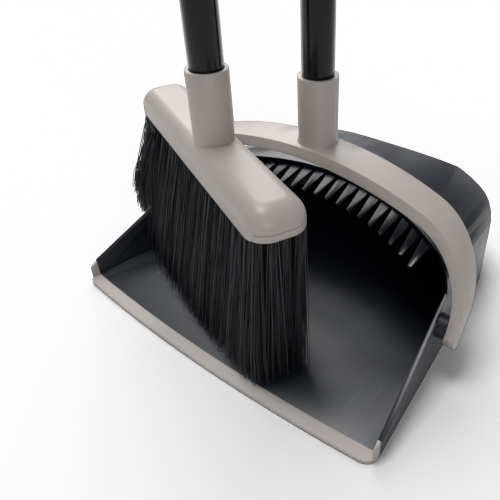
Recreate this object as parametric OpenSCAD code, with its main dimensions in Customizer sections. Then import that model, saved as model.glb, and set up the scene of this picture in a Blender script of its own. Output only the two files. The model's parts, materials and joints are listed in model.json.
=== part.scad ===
// Upright dustpan with a folding yoke handle, and the long broom that stands in its mouth.
// Frame: +Z is up and -Y points to the pan's lip. The origin lies on the floor, directly
// under the pan's handle. The pan lies flat and its handle is upright.

/* [Pan] */
// Width of the pan across its lip
pan_w = 312; // [250:1:380]
// Length of the pan from the lip to the rear wall
pan_len = 277; // [240:1:340]
// Width of the pan at its rear wall
rear_w = 240; // [200:1:290]
// Distance from the handle's axis forward to the lip
lip_reach = 147; // [130:1:175]
// How far the lip bows forward at its middle
lip_bow = 8; // [3:0.5:14]
// Thickness of the pan's walls
wall_t = 2.2; // [1.6:0.1:3.2]
// Thickness of the pan's floor
floor_t = 2; // [1.8:0.1:3]
// Height of the side walls at the lip
front_h = 12; // [8:0.5:20]
// Height of the side walls beside the pivots
side_h = 57; // [52:1:66]
// Height of the hood at its rim
hood_h = 94; // [84:1:104]
// Height that the hood's roof loses from the rim to the rear wall
hood_fall = 18; // [8:1:26]
// Radius of the hood's crowned roof
crown_r = 520; // [420:10:1000]
// Radius of the hood's shoulders
shoulder_r = 28; // [18:1:32]
// Radius of the two rear corners, seen from above
rear_r = 76; // [50:1:84]
// Radius of the roof's rear edge
roof_r = 14; // [8:1:22]
// Radius of the two front corners, seen from above
front_r = 10; // [7:0.5:14]
// Distance from the handle's axis back to the middle of the hood's rim
rim_back = 19; // [10:1:30]
// Radius of the curved rim, seen from above
rim_r = 220; // [200:5:300]
// Bead along the top of the side walls
bead_t = 1.4; // [0.8:0.1:2]

/* [Lip] */
// Soft lip strip, front to back
lip_band = 11; // [8:0.5:15]
// Thickness of the lip strip
lip_t = 3; // [2.6:0.1:4]
// Length of the pan's tongue inside the lip strip
tongue = 5; // [3:0.5:7]

/* [Comb] */
// Number of comb teeth
tooth_count = 19; // [13:2:21]
// Distance between two teeth
tooth_pitch = 12.2; // [11:0.1:13]
// Length of a tooth
tooth_len = 23; // [16:1:30]
// Width of a tooth at its root
tooth_w = 9.5; // [7:0.5:10]
// Width of a tooth at its tip
tip_w = 3.5; // [2:0.5:5]
// Angle that the teeth slope down by
tooth_slope = 17; // [10:1:30]

/* [Yoke] */
// Height of the pivots above the floor
pivot_z = 42; // [36:1:50]
// Distance from the handle's axis forward to the pivots
pivot_fore = 42; // [34:1:50]
// Diameter of the pivot pins
pin_d = 10; // [8:0.5:12]
// Diameter of the pan's pivot bosses
boss_d = 19; // [16:0.5:22]
// Length of the pan's pivot bosses
boss_l = 8; // [6:0.5:12]
// Thickness of the yoke's band
yoke_t = 8; // [6:0.5:11]
// Height of the top of the yoke
yoke_h = 131; // [124:1:150]
// Width of the yoke's band at its top
yoke_w = 32; // [26:1:38]
// Width of the yoke's arms at the pivots
arm_w = 14; // [12:0.5:18]
// Radius of the yoke's long top curve
yoke_crown_r = 400; // [300:10:600]
// Radius of the yoke's shoulders
yoke_shoulder_r = 68; // [50:1:80]
// Thickness of the yoke's ribs and skin
yoke_skin = 3; // [2.4:0.1:3.4]

/* [Poles] */
// Outer diameter of the poles
pole_d = 25; // [22:0.5:28]
// Wall of the pole tubes
tube_t = 0.8; // [0.6:0.1:1.2]
// Wall of the sockets
socket_wall = 3.2; // [2.6:0.1:5]
// Height of the sockets above their root
socket_h = 54; // [46:1:64]
// Visible length of the lower tube
lower_len = 231; // [180:1:300]
// Visible length of the middle tube
middle_len = 273; // [200:1:340]
// Visible length of the upper tube
upper_len = 246; // [180:1:300]
// Length of the ribbed collar between two tubes
collar_l = 37; // [30:1:45]
// Height that the collars stand out from the tubes
collar_out = 0.7; // [0.3:0.1:2.5]
// Length of the hand grips
grip_l = 144; // [120:1:170]
// Wall of the hand grips where they are fullest
grip_wall = 4.5; // [3.5:0.5:6.5]
// Height of the hanging loops
loop_h = 42; // [36:1:50]
// Width of the hanging loops
loop_w = 33; // [29:0.5:38]

/* [Clip] */
// Height of the middle of the clip
clip_z = 965; // [930:1:985]
// Length of the clip along the pole
clip_l = 34; // [24:1:40]
// Gap between the two poles in the clip
clip_apart = 17; // [13:0.5:23]
// Wall of the clip
clip_t = 3; // [2.4:0.1:4]
// Opening angle of the clip's free jaw
clip_gap = 110; // [80:1:130]

/* [Broom] */
// Sideways place of the broom's pole
broom_x = -42; // [-55:1:-30]
// Distance from the pan's handle forward to the broom's pole
broom_fore = 74; // [66:1:84]
// Turn of the broom's head about its pole
broom_yaw = -23; // [-30:1:-15]
// Length of the broom's head
head_l = 252; // [200:1:290]
// Width of the broom's head
head_w = 44; // [38:1:50]
// Height of the broom's head
head_h = 22; // [18:0.5:28]
// Height of the head's base plate
base_h = 6; // [4:0.5:8]
// Distance of the head's middle from the pole
head_shift = 10; // [0:1:16]
// Depth of the head's underside below the top of the yoke, with the broom in the pan
head_drop = 3; // [0:0.5:8]
// Radius of the head's corners, seen from above
head_corner_r = 16; // [10:0.5:20]
// Wall of the head's cover beside the base plate
skirt_t = 2.5; // [1.6:0.1:3.5]
// Distance of the tufts from the head's edge
tuft_edge = 5; // [3:0.5:8]
// Spread of the bristles to the front at their tips
spread_front = 19; // [10:1:26]
// Spread of the bristles to the rear at their tips
spread_rear = 9; // [4:1:20]
// Spread of the bristles at each end of the head
spread_end = 12; // [4:1:16]

/* [Fits] */
// Radial clearance of a running fit
run_fit = 0.05; // [0.02:0.01:0.1]
// Gap between two moving faces
side_gap = 0.5; // [0.3:0.1:1]
// Clearance between the bristles and the pan or the yoke
soft_gap = 2; // [1.5:0.5:4]

/* [Hidden] */
$fn = 64;
big = 400;

// Colours
shell_c = "#31363c";
lip_c = "#aaa29d";
taupe_c = "#b4aca5";
tube_c = "#101214";
joint_c = "#23272b";
grip_c = "#929ca6";
clip_c = "#c3c6c8";
bristle_c = "#17181a";

// Pan: the side walls lean in toward the rear by one constant angle
lip_y = -lip_reach;
rear_y = pan_len - lip_reach;
pivot_y = -pivot_fore;
taper = (pan_w - rear_w) / 2 / pan_len;
taper_a = atan(taper);
function side_x(y) = pan_w / 2 - taper * (y - lip_y);
function wall_h(y) = front_h + (side_h - front_h) * (y - lip_y) / (pivot_y - lip_y);

// Rear and front corners, and the bowed lip between the front ones
rear_c = [side_x(rear_y - rear_r) - rear_r / cos(taper_a), rear_y - rear_r];
bow_r = (pow(pan_w / 2, 2) + pow(lip_bow, 2)) / (2 * lip_bow);
bow_y = lip_y - lip_bow + bow_r;
front_k = pan_w / 2 + taper * lip_y - front_r / cos(taper_a);
front_a = 1 + pow(taper, 2);
front_b = -2 * (front_k * taper + bow_y);
front_q = pow(front_k, 2) + pow(bow_y, 2) - pow(bow_r - front_r, 2);
front_y = (-front_b - sqrt(pow(front_b, 2) - 4 * front_a * front_q)) / (2 * front_a);
front_c = [front_k - taper * front_y, front_y];
front_turn = atan2(front_y - bow_y, front_c.x);

// Hood: a crowned roof that falls to the rear, with round shoulders
roof_a = atan(hood_fall / (rear_y - rim_back));
shoulder_x = side_x(rim_back) - shoulder_r;
shoulder_z = -crown_r + sqrt(pow(crown_r - shoulder_r, 2) - pow(shoulder_x, 2));
shoulder_a = asin(shoulder_x / (crown_r - shoulder_r));
function roof_z(y) = hood_h - hood_fall * (y - rim_back) / (rear_y - rim_back);
function rim_y(x) = rim_back - rim_r + sqrt(pow(rim_r, 2) - pow(x, 2));

// Comb: the strip under the roof, and how far a tooth's root reaches into it
strip_t = 2.4;
strip_w = 8;
root_l = 3;
strip_end = 1;
tooth_drop = 0.2;
bead_h = 3;
rear_rise = 0.4;

// Yoke
yoke_in = side_x(pivot_y) + boss_l + side_gap;
yoke_x = yoke_in + yoke_t;
yoke_c = [yoke_x - yoke_shoulder_r,
    yoke_h - yoke_crown_r + sqrt(pow(yoke_crown_r - yoke_shoulder_r, 2)
        - pow(yoke_x - yoke_shoulder_r, 2))];
arm_end = 5;
yoke_ahead = 3;
rib_end = pivot_z + boss_d / 2 + 4;
root_flare = 3;
root_fillet_h = 3;
pin_r = pin_d / 2;

// Head of the broom, standing beside the yoke
head_z = yoke_h - head_drop;
head_top = head_z + head_h;

// Poles
pole_r = pole_d / 2;
bore_r = pole_r + run_fit;
socket_d = pole_d + 2 * socket_wall;
collar_d = pole_d + 2 * collar_out;
tube_in = pole_r - tube_t;
plug_r = tube_in - run_fit;
plug_l = 24;
thread_in = 3;
stub_r = pole_r - thread_in;
stub_l = 14;
flange_t = 2;
cup_share = 0.62;
cup_l = collar_l * cup_share;
cup_floor = 4;
screw_r = plug_r - thread_in;
screw_l = cup_l - cup_floor;
wall_in_screw = 2;
rib_pitch = 6;
rib_h = 3;
rib_out = 0.6;
grip_bore_l = 90;
socket_deep = 40;
pan_seat = yoke_h + socket_h - socket_deep;
broom_seat = head_top + socket_h - socket_deep;

// Grips and their hanging loops
grip_r = pole_r + grip_wall;
grip_round = 9;
grip_slim = 2;
foot_l = 8;
foot_end = 20;
grip_taper_l = 28;
grip_draw = 3;
grip_neck = grip_r - grip_draw - grip_round;
stem_r = 6;
stem_l = 16;
loop_t = 9;
loop_foot = 9;
eye_rim = 7.5;
eye_w = loop_w - 2 * eye_rim;
eye_floor = 6.5;
eye_narrow = 1.5;

// Clip
clip_pitch = pole_d + clip_apart;
bridge_w = 8;

// Broom
tip_z = floor_t + soft_gap;
lip_gap = 2;
cover_side = 9;
cover_round = 4;
cover_bevel = 10;
end_bevel = 14;

// Everything below is drawn by these modules

module mirrored() {
    children();
    mirror([1, 0, 0]) children();
}

// A flat shape in Y and Z, drawn out along X
module along_x(length) {
    rotate([90, 0, 90]) linear_extrude(length, center = true) children();
}

// A flat shape in X and Z, drawn out along Y
module along_y(length) {
    rotate([90, 0, 0]) linear_extrude(length, center = true) children();
}

module broom_place() {
    translate([broom_x, -broom_fore, 0]) rotate([0, 0, broom_yaw]) children();
}

// Points along an arc, from angle a0 to angle a1 in n steps
function arc(c, r, a0, a1, n, skip = 0) =
    [for (i = [skip : n]) c + r * [cos(a0 + (a1 - a0) * i / n), sin(a0 + (a1 - a0) * i / n)]];

// Outline of the pan from above, moved inward by d; an open one runs on past the lip
module pan_plan(d = 0, open = false) {
    ahead = lip_y - 60;
    front = open
        ? [[side_x(ahead) - d / cos(taper_a), ahead]]
        : concat(arc([0, bow_y], bow_r - d, -90, front_turn, 6),
            arc(front_c, front_r - d, front_turn, taper_a, 5, 1));
    right = concat(front, arc(rear_c, rear_r - d, taper_a, 90, 10));
    last = open ? 0 : 1;
    polygon(concat(right, [for (i = [len(right) - 1 : -1 : last]) [-right[i].x, right[i].y]]));
}

// One side limit of the hood: an upright wall and the round shoulder above it
module shoulder(d) {
    round = arc([-shoulder_r, 0], shoulder_r - d, 0, 90 - shoulder_a, 6);
    over = round[6] + big * [-1, tan(shoulder_a + 4)];
    translate([side_x(rim_back), rim_back, hood_h + shoulder_z / cos(roof_a)])
        rotate([0, 0, taper_a]) rotate([-roof_a, 0, 0]) along_y(3 * big)
            polygon(concat(round, [over, [over.x, -big], [-d, -big]]));
}

// The solid that the pan's outside (d = 0) or inside (d = wall) follows
module pan_form(d, z0, open = false) {
    rear_z = roof_z(rear_y - roof_r) - roof_r + rear_rise;
    crown_a = asin(pan_w / 2 / crown_r);
    intersection() {
        translate([0, 0, z0]) linear_extrude(big) pan_plan(d, open);
        along_x(3 * big) polygon(concat(arc([rear_y - roof_r, rear_z], roof_r - d, 0, 90, 6),
            [[rear_y - roof_r, big], [-big, big], [-big, -1], [rear_y - d, -1]]));
        translate([0, rim_back, hood_h - crown_r / cos(roof_a)]) rotate([-roof_a, 0, 0]) along_y(3 * big)
            polygon(concat(arc([0, 0], crown_r - d, 90 - crown_a, 90 + crown_a, 15),
                [[-big, crown_r - big], [big, crown_r - big]]));
        shoulder(d);
        mirror([1, 0, 0]) shoulder(d);
    }
}

// Everything ahead of the hood's rim and above the side walls
module open_front() {
    intersection() {
        translate([0, rim_back - rim_r, 0]) cylinder(r = rim_r, h = big, $fn = 360);
        along_x(3 * big)
            polygon([[-big, wall_h(-big)], [rear_y, wall_h(rear_y)], [rear_y, big], [-big, big]]);
    }
}

// The band ahead of a curve that lies `back` behind the edge of the lip
module ahead_of(back) {
    difference() {
        translate([-big, -big]) square([2 * big, big]);
        polygon(concat(arc([0, bow_y + back], bow_r, -98, -82, 16), [[big, big], [-big, big]]));
    }
}

module pan_walls() {
    difference() {
        union() {
            pan_form(0, 0);
            mirrored() translate([side_x(pivot_y) - wall_t, pivot_y, pivot_z]) rotate([0, 90, 0])
                cylinder(d = boss_d, h = wall_t + boss_l);
            side_bead();
        }
        pan_form(wall_t, floor_t, open = true);
        open_front();
    }
}

// A thin bead along the outer face of each side wall, at its top
module side_bead() {
    from = lip_y + lip_band + 1;
    to = pivot_y - boss_d / 2 - 1;
    intersection() {
        linear_extrude(big) difference() {
            pan_plan(-bead_t, open = true);
            pan_plan(wall_t / 2, open = true);
        }
        along_x(3 * big) polygon([[from, wall_h(from) - bead_h], [to, wall_h(to) - bead_h],
            [to, wall_h(to)], [from, wall_h(from)]]);
    }
}

module lip_tongue() {
    translate([0, 0, (floor_t - 1) / 2]) linear_extrude(1) intersection() {
        pan_plan(2 * wall_t, open = true);
        difference() {
            ahead_of(lip_band + 1);
            ahead_of(lip_band - tongue);
        }
    }
}

module pan_shell() {
    color(shell_c) difference() {
        union() {
            difference() {
                pan_walls();
                linear_extrude(big, center = true) ahead_of(lip_band);
            }
            lip_tongue();
        }
        mirrored() translate([side_x(pivot_y) - 3 * wall_t, pivot_y, pivot_z]) rotate([0, 90, 0])
            cylinder(r = pin_r + run_fit, h = 4 * wall_t + boss_l);
    }
}

module pan_lip() {
    color(lip_c) difference() {
        intersection() {
            union() {
                pan_walls();
                linear_extrude(lip_t) pan_plan();
            }
            linear_extrude(big, center = true) ahead_of(lip_band);
        }
        lip_tongue();
    }
}

// Comb: a strip under the hood's rim that carries the teeth
module comb() {
    half = tooth_pitch * (tooth_count - 1) / 2;
    end = half + tooth_w / 2 + strip_end;
    color(shell_c) union() {
        intersection() {
            difference() {
                pan_form(wall_t, floor_t, open = true);
                pan_form(wall_t + strip_t, 0, open = true);
            }
            linear_extrude(big) difference() {
                intersection() {
                    translate([0, rim_back - rim_r]) circle(rim_r + strip_w, $fn = 360);
                    translate([-end, -big]) square([2 * end, 2 * big]);
                }
                translate([0, rim_back - rim_r]) circle(rim_r, $fn = 360);
            }
        }
        for (i = [0 : tooth_count - 1]) tooth(i * tooth_pitch - half);
    }
}

module tooth(x) {
    root = rim_y(x);
    drop = crown_r - sqrt(pow(crown_r, 2) - pow(x, 2));
    reach = tooth_len + root_l;
    translate([x, root + root_l, roof_z(root + root_l) - drop - wall_t - strip_t - tooth_drop])
        rotate([tooth_slope, 0, 0]) translate([0, 0, -strip_t / 2]) linear_extrude(strip_t)
            polygon(concat([[-tooth_w / 2, 0], [tooth_w / 2, 0]],
                arc([0, -reach], tip_w / 2, 0, -180, 6)));
}

// Outline of the yoke from the front, moved inward by d
module arch(d = 0) {
    crown_c = [0, yoke_h - yoke_crown_r];
    toward = (yoke_c - crown_c) / norm(yoke_c - crown_c);
    top = yoke_c + (yoke_shoulder_r - d) * toward;
    edge = [yoke_x - d, yoke_c.y];
    foot = [yoke_x - d, -1];
    mirrored() translate(yoke_c) circle(yoke_shoulder_r - d);
    intersection() {
        translate(crown_c) circle(yoke_crown_r - d, $fn = 720);
        translate([-top.x, top.y - 1]) square([2 * top.x, big]);
    }
    polygon([foot, edge, top, [-top.x, top.y], [-edge.x, edge.y], [-foot.x, foot.y]]);
}

// Outline of the yoke from the side, moved inward by d: it leans back and widens upward
module arch_side(d = 0) {
    lean = (yoke_h - pivot_z) / (pivot_fore - yoke_ahead);
    end_c = [pivot_y - arm_end / lean, pivot_z - arm_end];
    half = arm_w / 2 - d;
    translate(end_c) circle(half);
    polygon([end_c - [half, 0], [pivot_y - half, pivot_z],
        [-yoke_ahead - yoke_w / 2 + d, yoke_h + 1], [-yoke_ahead + yoke_w / 2 - d, yoke_h + 1],
        [pivot_y + half, pivot_z], end_c + [half, 0]]);
}

module yoke() {
    root_z = yoke_h - yoke_t;
    color(taupe_c) difference() {
        union() {
            intersection() {
                along_y(big) difference() {
                    arch();
                    arch(yoke_t);
                }
                along_x(big) arch_side();
            }
            translate([0, 0, root_z]) cylinder(d = socket_d, h = yoke_h + socket_h - root_z);
            translate([0, 0, yoke_h - 1])
                cylinder(d1 = socket_d + root_flare, d2 = socket_d, h = root_fillet_h);
            mirrored() translate([side_x(pivot_y) - wall_t / 2, pivot_y, pivot_z]) rotate([0, 90, 0])
                cylinder(r = pin_r, h = yoke_in - side_x(pivot_y) + wall_t / 2 + 1);
        }
        // The band is hollow underneath, between its two ribs
        intersection() {
            along_y(big) difference() {
                arch(yoke_skin);
                arch(yoke_t + 1);
                translate([-socket_d / 2 - root_flare, 0]) square([socket_d + 2 * root_flare, big]);
                translate([-big / 2, 0]) square([big, rib_end]);
            }
            along_x(big) arch_side(yoke_skin);
        }
        socket_bore(pan_seat);
    }
}

// Bore of a socket: wide for the tube above the seat, narrow for the threaded stub below it
module socket_bore(seat) {
    translate([0, 0, seat]) cylinder(r = bore_r, h = big);
    translate([0, 0, seat - stub_l]) cylinder(r = stub_r + run_fit, h = stub_l + 1);
}

// Pole, part by part, from its seat in the socket upward
function lower_top(seat) = seat + socket_deep + lower_len;
function middle_bottom(seat) = lower_top(seat) + collar_l;
function middle_top(seat) = middle_bottom(seat) + middle_len;
function upper_bottom(seat) = middle_top(seat) + collar_l;
function upper_top(seat) = upper_bottom(seat) + upper_len + grip_bore_l;
function grip_z(seat) = upper_bottom(seat) + upper_len;

module tube(z0, z1) {
    color(tube_c) translate([0, 0, z0]) difference() {
        cylinder(r = pole_r, h = z1 - z0);
        translate([0, 0, -1]) cylinder(r = tube_in, h = z1 - z0 + 2);
    }
}

// Plug in the tube's lower end, with the threaded stub that screws into the socket
module tip(seat) {
    color(joint_c) translate([0, 0, seat]) rotate_extrude()
        polygon([[0, -stub_l + 1], [stub_r - 1, -stub_l + 1], [stub_r, -stub_l + 2], [stub_r, 0],
            [pole_r, 0], [pole_r, flange_t], [plug_r, flange_t], [plug_r, plug_l], [0, plug_l]]);
}

// Ribbed cup on a tube's upper end: the next tube's screw turns into it
module cup(z) {
    ribs = [for (i = [0 : 2]) cup_l - rib_h - 1 - i * rib_pitch];
    color(joint_c) translate([0, 0, z]) difference() {
        union() {
            translate([0, 0, -plug_l]) cylinder(r = plug_r, h = plug_l + 1);
            cylinder(d = collar_d - 2 * rib_out, h = cup_l);
            for (rib = ribs) translate([0, 0, rib]) cylinder(d = collar_d, h = rib_h);
        }
        translate([0, 0, cup_l - screw_l - 1]) cylinder(r = screw_r + run_fit, h = big);
        translate([0, 0, -plug_l - 1]) cylinder(r = screw_r - wall_in_screw, h = big);
    }
}

// Collar under a tube's lower end, with the screw that turns into the cup below
module screw(z) {
    color(joint_c) translate([0, 0, z]) difference() {
        union() {
            translate([0, 0, cup_l - screw_l]) cylinder(r = screw_r, h = screw_l + 1);
            translate([0, 0, cup_l]) cylinder(d = collar_d - 2 * rib_out, h = collar_l - cup_l);
            translate([0, 0, cup_l + flange_t]) cylinder(d = collar_d, h = rib_h);
            translate([0, 0, collar_l - 1]) cylinder(r = plug_r, h = plug_l + 1);
        }
        translate([0, 0, -1]) cylinder(r = screw_r - wall_in_screw, h = big);
    }
}

// Hand grip: slim at its foot, full in the hand and rounded at its top
module grip(seat) {
    color(grip_c) translate([0, 0, grip_z(seat)]) difference() {
        rotate_extrude($fn = 96) union() {
            polygon([[0, 0], [grip_r - grip_slim, 0], [grip_r - grip_slim, foot_l], [grip_r, foot_end],
                [grip_r, grip_l - grip_taper_l],
                [grip_neck + grip_round, grip_l - grip_round], [grip_neck, grip_l], [0, grip_l]]);
            translate([grip_neck, grip_l - grip_round]) intersection() {
                circle(grip_round);
                square(grip_round);
            }
        }
        translate([0, 0, -1]) cylinder(r = bore_r, h = grip_bore_l + 1);
        translate([0, 0, grip_l - stem_l]) cylinder(r = stem_r + run_fit, h = stem_l + 1);
    }
}

// Hanging loop: a flat eye on a round stem that sits in the grip
module loop(seat) {
    eye = loop_h - loop_w / 2;
    eye_r = eye_w / 2;
    low_r = eye_r - eye_narrow;
    low = eye_floor + low_r;
    color(clip_c) translate([0, 0, grip_z(seat) + grip_l]) {
        translate([0, 0, -stem_l]) cylinder(r = stem_r, h = stem_l + 1);
        along_y(loop_t) difference() {
            union() {
                translate([0, eye]) circle(d = loop_w);
                polygon([[-loop_w / 2, eye], [-loop_foot, 0], [loop_foot, 0], [loop_w / 2, eye]]);
            }
            translate([0, eye]) circle(eye_r);
            translate([0, low]) circle(low_r);
            polygon([[-eye_r, eye], [-low_r, low], [low_r, low], [eye_r, eye]]);
        }
    }
}

// Clip: a ring that turns on the pan's pole and an open jaw for the broom's pole
module clip() {
    outer = pole_r + run_fit + clip_t;
    color(clip_c) translate([0, 0, clip_z - clip_l / 2]) linear_extrude(clip_l) difference() {
        union() {
            circle(outer);
            translate([clip_pitch, 0]) circle(outer);
            translate([0, -bridge_w / 2]) square([clip_pitch, bridge_w]);
        }
        circle(bore_r);
        translate([clip_pitch, 0]) circle(bore_r);
        translate([clip_pitch, 0]) polygon([[0, 0], big * [cos(clip_gap / 2), sin(clip_gap / 2)],
            big * [cos(clip_gap / 2), -sin(clip_gap / 2)]]);
    }
}

// Rounded outline of the broom's head from above, moved inward by d
module head_plan(d = 0) {
    r = head_corner_r - d;
    x = head_l / 2 - head_corner_r;
    y = head_w / 2 - head_corner_r;
    translate([-head_shift, 0]) {
        for (sx = [-1, 1], sy = [-1, 1]) translate([sx * x, sy * y]) circle(r);
        square([2 * x, 2 * (y + r)], center = true);
        square([2 * (x + r), 2 * y], center = true);
    }
}

// Section of the head's cover: upright sides, a sloping bevel and a flat top
module cover_section(width, bevel) {
    side = head_z + cover_side;
    right = [[width / 2, side], [width / 2 - bevel / 8, side + cover_round],
        [width / 2 - bevel / 2, head_top - cover_round / 2], [width / 2 - bevel, head_top]];
    polygon(concat([[-width, head_z - 1], [width, head_z - 1], [width, side]], right,
        [for (i = [3 : -1 : 0]) [-right[i].x, right[i].y]], [[-width, side]]));
}

module head_cover() {
    color(taupe_c) broom_place() difference() {
        union() {
            intersection() {
                translate([0, 0, head_z]) linear_extrude(head_h) head_plan();
                along_x(2 * big) cover_section(head_w, cover_bevel);
                translate([-head_shift, 0, 0]) along_y(2 * big) cover_section(head_l, end_bevel);
            }
            translate([0, 0, head_z + base_h])
                cylinder(d = socket_d, h = head_top + socket_h - head_z - base_h);
            translate([0, 0, head_top - 1])
                cylinder(d1 = socket_d + root_flare, d2 = socket_d, h = root_fillet_h);
        }
        base_space();
        socket_bore(broom_seat);
    }
}

// Room for the base plate: open at both ends of the head
module base_space() {
    translate([-head_shift, 0, head_z + base_h / 2])
        cube([2 * head_l, head_w - 2 * skirt_t, base_h], center = true);
}

module head_base() {
    color(taupe_c) broom_place() intersection() {
        translate([0, 0, head_z]) linear_extrude(base_h) head_plan();
        base_space();
    }
}

// Bristles as one soft block: it spreads toward the tips and stays off the pan and the yoke
module bristles() {
    top_u = head_l / 2 - tuft_edge;
    top_v = head_w / 2 - tuft_edge;
    color(bristle_c) difference() {
        broom_place() intersection() {
            translate([-head_shift, 0, 0]) along_y(big) polygon([[-top_u, head_z], [top_u, head_z],
                [top_u + spread_end, tip_z], [-top_u - spread_end, tip_z]]);
            along_x(2 * big) polygon([[-top_v, head_z], [top_v, head_z],
                [top_v + spread_rear, tip_z], [-top_v - spread_front, tip_z]]);
        }
        bristle_limits();
    }
}

// Space that the bristles leave free: the side walls, the yoke, the hood and the lip
module bristle_limits() {
    intersection() {
        linear_extrude(big) difference() {
            square(2 * big, center = true);
            pan_plan(wall_t + soft_gap, open = true);
        }
        along_x(3 * big) polygon([[-big, -1], [rear_y, -1], [rear_y, wall_h(rear_y) + soft_gap],
            [-big, wall_h(-big) + soft_gap]]);
    }
    intersection() {
        along_y(3 * big) arch(-soft_gap);
        union() {
            translate([-big, pivot_y + arm_w / 2 - soft_gap + 1, -1]) cube(2 * big);
            translate([-big - side_x(pivot_y) + yoke_t, pivot_y - arm_w / 2 - 2 * soft_gap, -1])
                cube([big, big, 2 * big]);
        }
    }
    linear_extrude(hood_h + soft_gap) difference() {
        pan_plan(-soft_gap, open = true);
        translate([0, rim_back - rim_r]) circle(rim_r - soft_gap, $fn = 360);
    }
    linear_extrude(lip_t + soft_gap) ahead_of(lip_band + lip_gap);
}

pan_shell();
pan_lip();
comb();
yoke();
tip(pan_seat);  // pan_tip
tube(pan_seat + flange_t, lower_top(pan_seat));  // pan_lower_tube
cup(lower_top(pan_seat));  // pan_lower_cup
screw(lower_top(pan_seat));  // pan_lower_screw
tube(middle_bottom(pan_seat), middle_top(pan_seat));  // pan_middle_tube
cup(middle_top(pan_seat));  // pan_upper_cup
screw(middle_top(pan_seat));  // pan_upper_screw
tube(upper_bottom(pan_seat), upper_top(pan_seat));  // pan_upper_tube
grip(pan_seat);  // pan_grip
loop(pan_seat);  // pan_loop
clip();
head_cover();
head_base();
bristles();
broom_place() tip(broom_seat);  // broom_tip
broom_place() tube(broom_seat + flange_t, lower_top(broom_seat));  // broom_lower_tube
broom_place() cup(lower_top(broom_seat));  // broom_lower_cup
broom_place() screw(lower_top(broom_seat));  // broom_lower_screw
broom_place() tube(middle_bottom(broom_seat), middle_top(broom_seat));  // broom_middle_tube
broom_place() cup(middle_top(broom_seat));  // broom_upper_cup
broom_place() screw(middle_top(broom_seat));  // broom_upper_screw
broom_place() tube(upper_bottom(broom_seat), upper_top(broom_seat));  // broom_upper_tube
broom_place() grip(broom_seat);  // broom_grip
broom_place() loop(broom_seat);  // broom_loop
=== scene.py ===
# %% [markdown]
# # Upright dustpan and broom set
#
# This lesson dresses a finished CAD model: a lobby dustpan on a tall handle, and the
# long broom that stands in its mouth. The CAD model is the fixed frame. It says where
# every piece is and how it moves, so nothing here is moved or resized. What is left to
# make is the look: soft moulded edges, thousands of bristles, and plastics, rubber and
# coated steel that catch the light as the real ones do.

# %% Load the frame
import json
import math

import bmesh
import bpy
import numpy as np
from mathutils import Matrix, Vector


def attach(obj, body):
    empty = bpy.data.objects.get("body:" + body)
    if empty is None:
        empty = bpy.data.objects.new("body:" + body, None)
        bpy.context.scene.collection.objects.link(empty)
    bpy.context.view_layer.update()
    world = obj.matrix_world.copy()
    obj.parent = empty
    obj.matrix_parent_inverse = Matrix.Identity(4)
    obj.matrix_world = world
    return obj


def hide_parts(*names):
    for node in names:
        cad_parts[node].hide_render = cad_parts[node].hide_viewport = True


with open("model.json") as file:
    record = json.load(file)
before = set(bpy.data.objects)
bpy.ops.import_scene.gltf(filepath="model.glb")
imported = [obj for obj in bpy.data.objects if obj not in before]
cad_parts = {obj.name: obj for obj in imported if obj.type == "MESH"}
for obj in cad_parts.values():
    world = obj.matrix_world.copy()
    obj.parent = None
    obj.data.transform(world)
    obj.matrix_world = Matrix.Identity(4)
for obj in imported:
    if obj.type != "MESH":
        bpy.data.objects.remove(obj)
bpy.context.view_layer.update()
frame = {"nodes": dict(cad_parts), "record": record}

record = frame["record"]
bodies = record["behaviour"]["bodies"]
body_of_node = {node: body for body, nodes in bodies.items() for node in nodes}
slot_of_node = {row["node"]: row["material_slot"] for row in record["subparts"]}
print("CAD nodes:", len(body_of_node), "bodies:", sorted(bodies))

# %% [markdown]
# ## The camera
#
# A camera is a place and three directions. Here they come from two angles: how far it is
# turned round the object (azimuth) and how steeply it looks down (elevation), with a
# slight roll. Setting the matrix from the three directions is exact, where aiming with a
# constraint would lose the roll.

# %% Camera from azimuth, elevation and roll
azimuth = math.radians(41.53)
elevation = math.radians(36.08)
roll = math.radians(-2.45)
camera_place = Vector((0.2612, -0.3448, 0.3450))

back = Vector((
    math.sin(azimuth) * math.cos(elevation),
    -math.cos(azimuth) * math.cos(elevation),
    math.sin(elevation),
))
level_right = Vector((math.cos(azimuth), math.sin(azimuth), 0))
level_up = back.cross(level_right)
right = level_right * math.cos(roll) + level_up * math.sin(roll)
up = level_up * math.cos(roll) - level_right * math.sin(roll)

camera_data = bpy.data.cameras.new("camera")
camera_data.sensor_width = 36
camera_data.lens = 42.07
camera_data.shift_x = -0.063
camera_data.shift_y = -0.0175
camera_data.clip_start = 0.01
camera = bpy.data.objects.new("camera", camera_data)
bpy.context.scene.collection.objects.link(camera)
camera.matrix_world = Matrix((
    (right.x, up.x, back.x, camera_place.x),
    (right.y, up.y, back.y, camera_place.y),
    (right.z, up.z, back.z, camera_place.z),
    (0, 0, 0, 1),
))
bpy.context.scene.camera = camera
print("camera at", tuple(round(v, 3) for v in camera_place))

# %% [markdown]
# ## Floor and light
#
# The set stands in a plain studio. The floor only catches soft shadows, so that the pan
# can still be seen when it folds down past it. Large soft lamps give the broad, gentle
# reflections that show the form of dark plastic.

# %% Studio
def add_lamp(name, place, aim, size, power):
    """A square soft lamp at place that shines toward aim."""
    data = bpy.data.lights.new(name, "AREA")
    data.shape = "SQUARE"
    data.size = size
    data.energy = power
    lamp = bpy.data.objects.new(name, data)
    bpy.context.scene.collection.objects.link(lamp)
    lamp.location = place
    lamp.rotation_euler = (Vector(aim) - Vector(place)).to_track_quat("-Z", "Y").to_euler()


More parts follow.
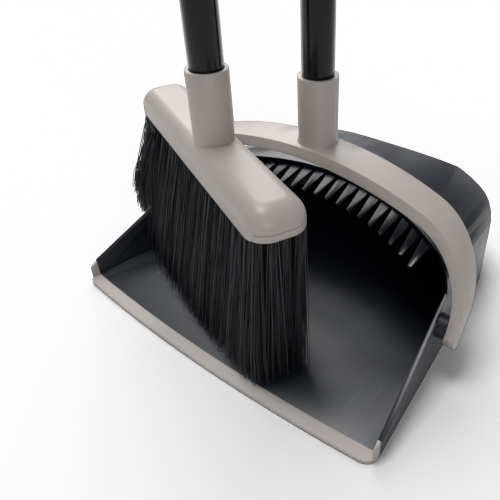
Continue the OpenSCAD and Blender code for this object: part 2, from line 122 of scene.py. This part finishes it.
floor_mesh = bpy.data.meshes.new("floor")
floor_half = 6.0
floor_z = -0.0006
floor_mesh.from_pydata(
    [(-floor_half, -floor_half, floor_z), (floor_half, -floor_half, floor_z),
     (floor_half, floor_half, floor_z), (-floor_half, floor_half, floor_z)],
    [], [(0, 1, 2, 3)],
)
floor = bpy.data.objects.new("floor", floor_mesh)
bpy.context.scene.collection.objects.link(floor)
floor.is_shadow_catcher = True

# The camera sees a white surround, while the object is lit by a dimmer one
world = bpy.data.worlds.new("studio")
bpy.context.scene.world = world
world.use_nodes = True
sky = world.node_tree
seen = sky.nodes["Background"]
seen.inputs["Color"].default_value = (1.0, 1.0, 1.0, 1)
lighting = sky.nodes.new("ShaderNodeBackground")
lighting.inputs["Color"].default_value = (0.93, 0.96, 1.0, 1)
lighting.inputs["Strength"].default_value = 0.20
rays = sky.nodes.new("ShaderNodeLightPath")
choose = sky.nodes.new("ShaderNodeMixShader")
sky.links.new(rays.outputs["Is Camera Ray"], choose.inputs["Fac"])
sky.links.new(lighting.outputs["Background"], choose.inputs[1])
sky.links.new(seen.outputs["Background"], choose.inputs[2])
sky.links.new(choose.outputs["Shader"], sky.nodes["World Output"].inputs["Surface"])
bpy.context.scene.view_settings.view_transform = "Standard"

pan_middle = (0, -0.02, 0.05)
add_lamp("key_lamp", (-1.43, 1.28, 1.70), pan_middle, 1.95, 50)
add_lamp("top_lamp", (-0.45, -0.15, 2.7), pan_middle, 1.05, 46)
add_lamp("fill_lamp", (1.1, -0.9, 0.7), pan_middle, 0.9, 5)
print("lamps:", len(bpy.data.lights))

# %% [markdown]
# ## Shared surface effects
#
# Moulded plastic is never perfectly even. Three effects are used by several materials, so
# each is a node group that is built once: a fine grain that breaks up highlights, long
# scuffs from sweeping, and a soft cloudiness that varies the gloss.

# %% Node group helpers
def new_group(name, inputs, outputs):
    """An empty shader node group with float inputs {name: default} and float outputs."""
    group = bpy.data.node_groups.new(name, "ShaderNodeTree")
    for label, value in inputs.items():
        socket = group.interface.new_socket(label, in_out="INPUT", socket_type="NodeSocketFloat")
        socket.default_value = value
    for label in outputs:
        group.interface.new_socket(label, in_out="OUTPUT", socket_type="NodeSocketFloat")
    start = group.nodes.new("NodeGroupInput")
    end = group.nodes.new("NodeGroupOutput")
    return group, start, end


def add_noise(tree, scale_from, coordinate, detail, roughness):
    """A noise texture whose scale comes from a socket."""
    noise = tree.nodes.new("ShaderNodeTexNoise")
    noise.inputs["Detail"].default_value = detail
    noise.inputs["Roughness"].default_value = roughness
    tree.links.new(coordinate, noise.inputs["Vector"])
    tree.links.new(scale_from, noise.inputs["Scale"])
    return noise


def object_coordinates(tree):
    return tree.nodes.new("ShaderNodeTexCoord").outputs["Object"]


def remap(tree, value, low, high, new_low, new_high):
    """Map Range from [low, high] to [new_low, new_high], clamped."""
    node = tree.nodes.new("ShaderNodeMapRange")
    tree.links.new(value, node.inputs["Value"])
    for label, number in (("From Min", low), ("From Max", high),
                          ("To Min", new_low), ("To Max", new_high)):
        node.inputs[label].default_value = number
    return node.outputs["Result"]


# %% Grain, scuffs and clouds
def build_grain():
    group, start, end = new_group("moulded_grain", {"Scale": 1800.0}, ["Height"])
    noise = add_noise(group, start.outputs["Scale"], object_coordinates(group), 2.0, 0.6)
    group.links.new(noise.outputs["Fac"], end.inputs["Height"])
    return group


def build_scuffs():
    """Fine scratches that run fore and aft, as sweeping leaves them."""
    group, start, end = new_group("sweeping_scuffs", {"Scale": 90.0}, ["Mask"])
    stretch = group.nodes.new("ShaderNodeMapping")
    stretch.inputs["Scale"].default_value = (1.0, 0.06, 1.0)
    stretch.inputs["Rotation"].default_value = (0, 0, math.radians(12))
    group.links.new(object_coordinates(group), stretch.inputs["Vector"])
    noise = add_noise(group, start.outputs["Scale"], stretch.outputs["Vector"], 6.0, 0.75)
    group.links.new(remap(group, noise.outputs["Fac"], 0.60, 0.72, 0.0, 1.0), end.inputs["Mask"])
    return group


def build_clouds():
    group, start, end = new_group("gloss_clouds", {"Scale": 14.0}, ["Value"])
    noise = add_noise(group, start.outputs["Scale"], object_coordinates(group), 4.0, 0.55)
    group.links.new(remap(group, noise.outputs["Fac"], 0.3, 0.7, 0.0, 1.0), end.inputs["Value"])
    return group


grain_group = build_grain()
scuff_group = build_scuffs()
cloud_group = build_clouds()
print("effect groups:", [g.name for g in (grain_group, scuff_group, cloud_group)])

# %% [markdown]
# ## Materials
#
# Each finish starts from the Principled shader. Colour, gloss range, grain size and grain
# depth are what set one plastic apart from another, so one function takes them, and the
# materials that need more, such as the scuffed pan, add to what it made.

# %% One plastic, many finishes
def place_group(tree, group, **values):
    node = tree.nodes.new("ShaderNodeGroup")
    node.node_tree = group
    for label, value in values.items():
        node.inputs[label].default_value = value
    return node


def make_finish(name, color, gloss, grain=1800.0, depth=0.15, shade=0.12, clouds=14.0,
                specular=0.5, coat=0.0):
    """Coloured plastic: gloss is its roughness from shiniest to dullest."""
    material = bpy.data.materials.new(name)
    material.use_nodes = True
    tree = material.node_tree
    shader = tree.nodes["Principled BSDF"]
    shader.inputs["Specular IOR Level"].default_value = specular
    shader.inputs["Coat Weight"].default_value = coat
    shader.inputs["Coat Roughness"].default_value = 0.12

    cloud = place_group(tree, cloud_group, Scale=clouds)
    tree.links.new(remap(tree, cloud.outputs["Value"], 0, 1, gloss[0], gloss[1]),
                   shader.inputs["Roughness"])
    mix = tree.nodes.new("ShaderNodeMix")
    mix.data_type = "RGBA"
    mix.inputs["A"].default_value = (*[c * (1 - shade) for c in color], 1)
    mix.inputs["B"].default_value = (*[min(1, c * (1 + shade)) for c in color], 1)
    tree.links.new(cloud.outputs["Value"], mix.inputs["Factor"])
    tree.links.new(mix.outputs["Result"], shader.inputs["Base Color"])

    bump = tree.nodes.new("ShaderNodeBump")
    bump.inputs["Strength"].default_value = depth
    bump.inputs["Distance"].default_value = 0.0003
    tree.links.new(place_group(tree, grain_group, Scale=grain).outputs["Height"],
                   bump.inputs["Height"])
    tree.links.new(bump.outputs["Normal"], shader.inputs["Normal"])
    return material


def add_scuffs(material, scale, pale, amount):
    """Mixes pale scratches into a finish."""
    tree = material.node_tree
    shader = tree.nodes["Principled BSDF"]
    base = shader.inputs["Base Color"].links[0].from_socket
    scuffs = place_group(tree, scuff_group, Scale=scale)
    mix = tree.nodes.new("ShaderNodeMix")
    mix.data_type = "RGBA"
    mix.inputs["B"].default_value = (*pale, 1)
    tree.links.new(base, mix.inputs["A"])
    tree.links.new(remap(tree, scuffs.outputs["Mask"], 0, 1, 0, amount), mix.inputs["Factor"])
    tree.links.new(mix.outputs["Result"], shader.inputs["Base Color"])


# %% The finishes of this set
finishes = {
    "pan_plastic": make_finish("pan_plastic", (0.008, 0.010, 0.016), (0.26, 0.36), grain=1500,
                               depth=0.08),
    "lip_rubber": make_finish("lip_rubber", (0.40, 0.365, 0.34), (0.50, 0.65), depth=0.12),
    "taupe_plastic": make_finish("taupe_plastic", (0.40, 0.36, 0.33), (0.34, 0.46),
                                 grain=1300, depth=0.16, shade=0.03),
    "tube_paint": make_finish("tube_paint", (0.004, 0.0045, 0.006), (0.10, 0.16), depth=0.02,
                              specular=0.2, coat=0.08),
    "joint_plastic": make_finish("joint_plastic", (0.012, 0.013, 0.016), (0.3, 0.4)),
    "grip_plastic": make_finish("grip_plastic", (0.27, 0.31, 0.35), (0.5, 0.62), depth=0.25),
    "loop_plastic": make_finish("loop_plastic", (0.5, 0.52, 0.53), (0.4, 0.5)),
    "clip_plastic": make_finish("clip_plastic", (0.5, 0.52, 0.53), (0.4, 0.5)),
    "bristle": make_finish("bristle", (0.018, 0.022, 0.030), (0.26, 0.36), depth=0.0),
}
add_scuffs(finishes["pan_plastic"], 90.0, (0.10, 0.11, 0.12), 0.30)


def paint_fibre_tone_and_highlights(material):
    """Gives every fibre its own random tone, from the shade value that it carries. The palest
    fibres carry painted grey-blue highlights in their base colour.
    """
    tree = material.node_tree
    shader = tree.nodes["Principled BSDF"]
    own = tree.nodes.new("ShaderNodeAttribute")
    own.attribute_name = "shade"
    ramp = tree.nodes.new("ShaderNodeValToRGB")
    ramp.color_ramp.elements[0].color = (0.003, 0.0035, 0.005, 1)
    # The pale end of this ramp is a painted highlight: grey-blue glints painted into the colour
    # of random fibres.
    ramp.color_ramp.elements[1].color = (0.075, 0.080, 0.090, 1)
    middle = ramp.color_ramp.elements.new(0.62)
    middle.color = (0.009, 0.010, 0.014, 1)
    tree.links.new(own.outputs["Fac"], ramp.inputs["Fac"])
    tree.links.new(ramp.outputs["Color"], shader.inputs["Base Color"])


paint_fibre_tone_and_highlights(finishes["bristle"])
print("finishes:", sorted(finishes))

# %% [markdown]
# ## Moulded edges on the CAD pieces
#
# The CAD solids have knife-sharp edges, and no moulded part does. Every real edge has a
# small radius that draws a thin bright line, and without it plastic looks like paper. A
# copy of each CAD mesh is merged and its flat triangles joined, then a Bevel modifier
# rounds the edges, and faces that meet at a small angle are shaded smooth.

# %% Edge rounding
def finished_copy(node, radius, segments=2, smooth=32.0):
    """A CAD node's mesh with rounded edges. It replaces the node and rides on its body."""
    mesh = frame["nodes"][node].data.copy()
    mesh.name = node + "_look"
    work = bmesh.new()
    work.from_mesh(mesh)
    bmesh.ops.remove_doubles(work, verts=work.verts, dist=2e-6)
    bmesh.ops.dissolve_limit(work, angle_limit=math.radians(0.6), verts=work.verts,
                             edges=work.edges)
    work.to_mesh(mesh)
    work.free()
    mesh.materials.clear()
    mesh.materials.append(finishes[slot_of_node[node]])
    piece = bpy.data.objects.new(node + "_look", mesh)
    bpy.context.scene.collection.objects.link(piece)
    bevel = piece.modifiers.new("rounded", "BEVEL")
    bevel.width = radius
    bevel.segments = segments
    bevel.limit_method = "ANGLE"
    bevel.angle_limit = math.radians(smooth)
    bevel.use_clamp_overlap = True
    bevel.harden_normals = False
    bpy.context.view_layer.update()
    rounded = bpy.data.meshes.new_from_object(piece.evaluated_get(
        bpy.context.evaluated_depsgraph_get()))
    piece.modifiers.clear()
    piece.data = rounded
    rounded.shade_smooth()
    rounded.set_sharp_from_angle(angle=math.radians(smooth))
    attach(piece, body_of_node[node])
    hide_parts(node)


edge_radius = {
    "pan_shell": 0.0007, "pan_lip": 0.0006, "comb": 0.0004, "yoke": 0.0018,
    "head_base": 0.0012, "clip": 0.0006,
}
small_edge = 0.0004
made_later = ("bristles", "head_cover")
for node in body_of_node:
    if node not in made_later:
        finished_copy(node, edge_radius.get(node, small_edge))
print("rounded pieces:", len(body_of_node) - len(made_later))

# %% [markdown]
# ## The broom's head
#
# The head's cover is the softest shape of the set: a long pillow that swells from its
# skirt to a flat top. Bevels on flat faces can't give that swell, so the cover is lofted.
# Rings that follow the head's outline are stacked, each a little further in and higher
# than the last, and joined face by face. The skirt reaches the head's underside along
# both sides, and stops above the base plate at the two ends.

# %% Places on the broom
broom_axis = np.array([-0.042, -0.074])
broom_yaw = math.radians(-23)
along = np.array([math.cos(broom_yaw), math.sin(broom_yaw)])
across = np.array([-math.sin(broom_yaw), math.cos(broom_yaw)])
head_middle = -0.010


def to_frame(u, v, z):
    """Broom directions, along and across its head, to the shared frame."""
    u, v = np.atleast_1d(u), np.atleast_1d(v)
    place = broom_axis + np.outer(u, along) + np.outer(v, across)
    return np.column_stack([place, np.broadcast_to(z, len(u))])


def outline(half_length, half_width, corner, steps=10):
    """A rounded rectangle about the head's middle, counter-clockwise."""
    points = []
    for turn, (side_u, side_v) in enumerate(((1, 1), (-1, 1), (-1, -1), (1, -1))):
        for step in range(steps + 1):
            angle = math.radians(90 * turn + 90 * step / steps)
            points.append((head_middle + side_u * (half_length - corner)
                           + corner * math.cos(angle),
                           side_v * (half_width - corner) + corner * math.sin(angle)))
    return np.array(points)


def loft(rings):
    """Closed mesh data from rings of equal count: side quads and a cap at each end."""
    size = len(rings[0])
    points = [tuple(p) for ring in rings for p in ring]
    faces = [tuple(range(size))[::-1]]
    for level in range(len(rings) - 1):
        low, high = level * size, (level + 1) * size
        for k in range(size):
            after = (k + 1) % size
            faces.append((low + k, low + after, high + after, high + k))
    faces.append(tuple(range((len(rings) - 1) * size, len(rings) * size)))
    return points, faces


# %% Loft the cover and turn its socket
head_half, head_half_width, head_corner = 0.126, 0.022, 0.016
underside, base_top, head_top = 0.128, 0.134, 0.150
skirt = 0.0025

lower = outline(head_half, head_half_width, head_corner)
inner = outline(head_half - 0.001, head_half_width - skirt, head_corner - skirt)
at_end = np.abs(lower[:, 1]) < head_half_width - skirt
rim_height = np.where(at_end, base_top, underside)
rings = [to_frame(*inner.T, np.full(len(inner), base_top)),
         np.column_stack([to_frame(*inner.T, 0.0)[:, :2], rim_height]),
         np.column_stack([to_frame(*lower.T, 0.0)[:, :2], rim_height + 0.0004])]
swell = ((0.0, 0.0005), (0.0002, 0.0035), (0.0009, 0.0062), (0.0021, 0.0088),
         (0.0037, 0.0111), (0.0056, 0.0130), (0.0076, 0.0144), (0.0094, 0.0153),
         (0.0110, 0.0158), (0.0125, 0.0160))
for inset, rise in swell:
    ring = outline(head_half - 1.25 * inset, head_half_width - inset,
                   max(head_corner - 0.95 * inset, 0.004))
    rings.append(to_frame(*ring.T, base_top + rise))
points, faces = loft(rings)

socket_outer, socket_inner, socket_top, seat = 0.0157, 0.01255, 0.204, 0.164
socket_profile = ((0.0, 0.140), (socket_outer, 0.140), (socket_outer, socket_top - 0.0012),
                  (socket_outer - 0.0004, socket_top - 0.0003),
                  (socket_outer - 0.0012, socket_top), (socket_inner + 0.0005, socket_top),
                  (socket_inner, socket_top - 0.0006), (socket_inner, seat), (0.0, seat))
turns = 72
for radius, height in socket_profile[1:-1]:
    for k in range(turns):
        angle = 2 * math.pi * k / turns
        points.append((broom_axis[0] + radius * math.cos(angle),
                       broom_axis[1] + radius * math.sin(angle), height))
first = len(points) - turns * (len(socket_profile) - 2)
for level in range(len(socket_profile) - 3):
    for k in range(turns):
        low = first + level * turns
        after = (k + 1) % turns
        faces.append((low + k, low + after, low + turns + after, low + turns + k))

cover_mesh = bpy.data.meshes.new("head_cover_look")
cover_mesh.from_pydata([tuple(map(float, p)) for p in points], [], faces)
cover_mesh.materials.append(finishes["taupe_plastic"])
cover_mesh.validate()
cover_mesh.shade_smooth()
cover_mesh.set_sharp_from_angle(angle=math.radians(40))
cover = bpy.data.objects.new("head_cover_look", cover_mesh)
bpy.context.scene.collection.objects.link(cover)
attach(cover, "broom")
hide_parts("head_cover")
print("cover faces:", len(cover_mesh.polygons))

# %% [markdown]
# ## Bristles
#
# The broom has tufts of soft fibres in rows along its head. Where a fibre starts and ends
# follows three rules. It spreads outward from the head's middle. It ends just above the
# pan's floor. And it stays clear of the pan's wall and of the yoke, so the fibres at the
# left end are pushed forward, and some of them end above the wall as a frayed edge.
# NumPy applies the rules to every fibre at once. Geometry Nodes then draws the fibres.

# %% Where each fibre starts and ends
half_row = 0.1185
half_depth = 0.0155
root_z = 0.1285
tuft_columns, tuft_rows, fibres_per_tuft = 24, 4, 68
tuft_radius = 0.0036

rng = np.random.default_rng(11)
column, row = np.meshgrid(np.arange(tuft_columns), np.arange(tuft_rows), indexing="ij")
tuft_u = head_middle + half_row * (2 * (column + 0.25 * (row % 2)) / (tuft_columns - 0.75) - 1)
tuft_v = half_depth * (2 * row / (tuft_rows - 1) - 1)
tuft_u = np.repeat(tuft_u.ravel(), fibres_per_tuft)
tuft_v = np.repeat(tuft_v.ravel(), fibres_per_tuft)
count = len(tuft_u)

spin = rng.uniform(0, 2 * math.pi, count)
reach = tuft_radius * np.sqrt(rng.uniform(0, 1, count))
root_u = tuft_u + reach * np.cos(spin)
root_v = tuft_v + reach * np.sin(spin)

end_share = (root_u - head_middle) / half_row
depth_share = root_v / half_depth
front_spread = np.interp(end_share, [-1, 0, 1], [0.024, 0.021, 0.010])
rear_spread = np.interp(end_share, [-1, 1], [0.004, -0.006])
end_spread = np.interp(end_share, [-1, 0, 1], [-0.008, 0, 0.003])
tip_u = root_u + end_spread + 0.6 * reach * np.cos(spin) + rng.normal(0, 0.0030, count)
tip_v = (root_v + np.where(depth_share < 0, front_spread, rear_spread) * depth_share
         + 0.6 * reach * np.sin(spin) + rng.normal(0, 0.0022, count))

root = to_frame(root_u, root_v, np.full(count, root_z))
tip = to_frame(tip_u, tip_v, 0.0042 + np.abs(rng.normal(0, 0.0016, count)))
print("tufts:", tuft_columns * tuft_rows, "fibres:", count)

# %% Fibres that the wall and the yoke push forward
press = np.full(count, 1.15)
pan_front_width, pan_rear_width, pan_length = 0.312, 0.240, 0.277
lip_y = -0.147
taper = (pan_front_width - pan_rear_width) / 2 / pan_length
yoke_front = -0.039
arm_front = -0.056

wall_gap = 0.0055
wall_inside = -(pan_front_width / 2 - taper * (tip[:, 1] - lip_y)) + wall_gap
behind = tip[:, 1] > yoke_front
tip[behind, 1] = yoke_front - rng.uniform(0, 0.012, behind.sum())
press[behind] = 3.5

outside = tip[:, 0] < wall_inside
tip[outside, 0] = wall_inside[outside] + rng.uniform(0, 0.014, outside.sum())
tip[outside, 1] = np.minimum(tip[outside, 1], arm_front - rng.uniform(0, 0.010, outside.sum()))
press[outside] = 3.0

frayed = (root[:, 0] < -0.136) & (rng.uniform(0, 1, count) < 0.5)
tip[frayed, 0] = -0.151 - rng.uniform(0, 0.013, frayed.sum())
tip[frayed, 1] = -0.060 - rng.uniform(0, 0.016, frayed.sum())
tip[frayed, 2] = rng.uniform(0.036, 0.068, frayed.sum())
press[frayed] = 1.5
print("pushed forward:", int(behind.sum()), "over the wall:", int(outside.sum()),
      "frayed:", int(frayed.sum()))

# %% [markdown]
# A Geometry Nodes tree reads `root`, `tip`, `press` and `shade` from one vertex per fibre.
# It puts a short line on each vertex, bends it between its two ends, and sweeps a
# three-sided profile along it. Three sides are enough for a fibre under a millimetre
# thick, and they keep the whole brush under two hundred thousand triangles.

# %% One vertex per fibre
seeds = bpy.data.meshes.new("bristle_seeds")
seeds.from_pydata([tuple(p) for p in root], [], [])
# Each fibre's random shade value sets its tone, and the palest fibres carry a painted highlight.
for label, kind, values in (("root", "FLOAT_VECTOR", root), ("tip", "FLOAT_VECTOR", tip),
                            ("press", "FLOAT", press),
                            ("shade", "FLOAT", rng.uniform(0, 1, count))):
    store = seeds.attributes.new(label, kind, "POINT")
    key = "vector" if kind == "FLOAT_VECTOR" else "value"
    store.data.foreach_set(key, np.asarray(values, dtype=np.float32).ravel())


print("seed attributes:", [a.name for a in seeds.attributes if a.name != "position"])


# %% The fibre tree
def math_node(tree, operation, first, second=None):
    node = tree.nodes.new("ShaderNodeMath")
    node.operation = operation
    for socket, value in zip(node.inputs, (first, second)):
        if value is None:
            continue
        if isinstance(value, (int, float)):
            socket.default_value = value
        else:
            tree.links.new(value, socket)
    return node.outputs[0]


def named(tree, label, kind="FLOAT"):
    node = tree.nodes.new("GeometryNodeInputNamedAttribute")
    node.data_type = kind
    node.inputs["Name"].default_value = label
    return node.outputs["Attribute"]


def build_fibre_tree():
    tree = bpy.data.node_groups.new("fibres", "GeometryNodeTree")
    tree.is_modifier = True
    face = tree.interface
    face.new_socket("Geometry", in_out="INPUT", socket_type="NodeSocketGeometry")
    for label, kind in (("Fibre Radius", "NodeSocketFloat"), ("Tip Share", "NodeSocketFloat"),
                        ("Wave", "NodeSocketFloat"), ("Joints", "NodeSocketInt"),
                        ("Material", "NodeSocketMaterial")):
        face.new_socket(label, in_out="INPUT", socket_type=kind)
    face.new_socket("Geometry", in_out="OUTPUT", socket_type="NodeSocketGeometry")
    start = tree.nodes.new("NodeGroupInput")
    end = tree.nodes.new("NodeGroupOutput")
    link = tree.links.new

    line = tree.nodes.new("GeometryNodeCurvePrimitiveLine")
    joints = tree.nodes.new("GeometryNodeResampleCurve")
    link(line.outputs["Curve"], joints.inputs["Curve"])
    link(start.outputs["Joints"], joints.inputs["Count"])
    copies = tree.nodes.new("GeometryNodeInstanceOnPoints")
    link(start.outputs["Geometry"], copies.inputs["Points"])
    link(joints.outputs["Curve"], copies.inputs["Instance"])
    real = tree.nodes.new("GeometryNodeRealizeInstances")
    link(copies.outputs["Instances"], real.inputs["Geometry"])

    # How far along the fibre, and how far it has moved sideways by then
    share = tree.nodes.new("GeometryNodeSplineParameter").outputs["Factor"]
    left = math_node(tree, "SUBTRACT", 1.0, share)
    still = math_node(tree, "POWER", left, named(tree, "press"))
    sideways = math_node(tree, "SUBTRACT", 1.0, still)

    def between(factor):
        mix = tree.nodes.new("ShaderNodeMix")
        mix.data_type = "VECTOR"
        link(factor, mix.inputs["Factor"])
        link(named(tree, "root", "FLOAT_VECTOR"), mix.inputs[4])
        link(named(tree, "tip", "FLOAT_VECTOR"), mix.inputs[5])
        split = tree.nodes.new("ShaderNodeSeparateXYZ")
        link(mix.outputs[1], split.inputs[0])
        return split.outputs

    swung, straight = between(sideways), between(share)
    place = tree.nodes.new("ShaderNodeCombineXYZ")
    link(swung["X"], place.inputs["X"])
    link(swung["Y"], place.inputs["Y"])
    link(straight["Z"], place.inputs["Z"])

    noise = tree.nodes.new("ShaderNodeTexNoise")
    noise.inputs["Scale"].default_value = 45.0
    noise.inputs["Detail"].default_value = 1.0
    link(place.outputs[0], noise.inputs["Vector"])
    centred = tree.nodes.new("ShaderNodeVectorMath")
    centred.operation = "SUBTRACT"
    link(noise.outputs["Color"], centred.inputs[0])
    centred.inputs[1].default_value = (0.5, 0.5, 0.5)
    wave = tree.nodes.new("ShaderNodeVectorMath")
    wave.operation = "SCALE"
    link(centred.outputs[0], wave.inputs[0])
    link(math_node(tree, "MULTIPLY", start.outputs["Wave"], share), wave.inputs["Scale"])
    move = tree.nodes.new("GeometryNodeSetPosition")
    link(real.outputs["Geometry"], move.inputs["Geometry"])
    link(place.outputs[0], move.inputs["Position"])
    link(wave.outputs[0], move.inputs["Offset"])

    thin = tree.nodes.new("ShaderNodeMapRange")
    link(share, thin.inputs["Value"])
    link(start.outputs["Fibre Radius"], thin.inputs["To Min"])
    link(math_node(tree, "MULTIPLY", start.outputs["Fibre Radius"], start.outputs["Tip Share"]),
         thin.inputs["To Max"])
    profile = tree.nodes.new("GeometryNodeCurvePrimitiveCircle")
    profile.inputs["Resolution"].default_value = 3
    profile.inputs["Radius"].default_value = 1.0
    sweep = tree.nodes.new("GeometryNodeCurveToMesh")
    link(move.outputs["Geometry"], sweep.inputs["Curve"])
    link(profile.outputs["Curve"], sweep.inputs["Profile Curve"])
    link(thin.outputs["Result"], sweep.inputs["Scale"])

    last = tree.nodes.new("GeometryNodeRealizeInstances")
    link(sweep.outputs["Mesh"], last.inputs["Geometry"])
    paint = tree.nodes.new("GeometryNodeSetMaterial")
    link(last.outputs["Geometry"], paint.inputs["Geometry"])
    link(start.outputs["Material"], paint.inputs["Material"])
    link(paint.outputs["Geometry"], end.inputs["Geometry"])
    return tree


def set_inputs(modifier, **values):
    """Sets a modifier's inputs by their names, through their socket identifiers."""
    for item in modifier.node_group.interface.items_tree:
        if item.item_type == "SOCKET" and item.in_out == "INPUT":
            key = item.name.replace(" ", "_")
            if key in values:
                modifier[item.identifier] = values[key]


# %% Draw the fibres
fibre_tree = build_fibre_tree()
grower = bpy.data.objects.new("bristle_grower", seeds)
bpy.context.scene.collection.objects.link(grower)
modifier = grower.modifiers.new("fibres", "NODES")
modifier.node_group = fibre_tree
set_inputs(modifier, Fibre_Radius=0.00036, Tip_Share=0.6, Wave=0.005, Joints=6,
           Material=finishes["bristle"])
bpy.context.view_layer.update()
grown = bpy.data.meshes.new_from_object(
    grower.evaluated_get(bpy.context.evaluated_depsgraph_get()))
bpy.data.objects.remove(grower)
grown.shade_smooth()
bristles = bpy.data.objects.new("bristle_fibres", grown)
bpy.context.scene.collection.objects.link(bristles)
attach(bristles, "broom")
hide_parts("bristles")
print("bristle faces:", len(grown.polygons), "materials:", len(grown.materials))
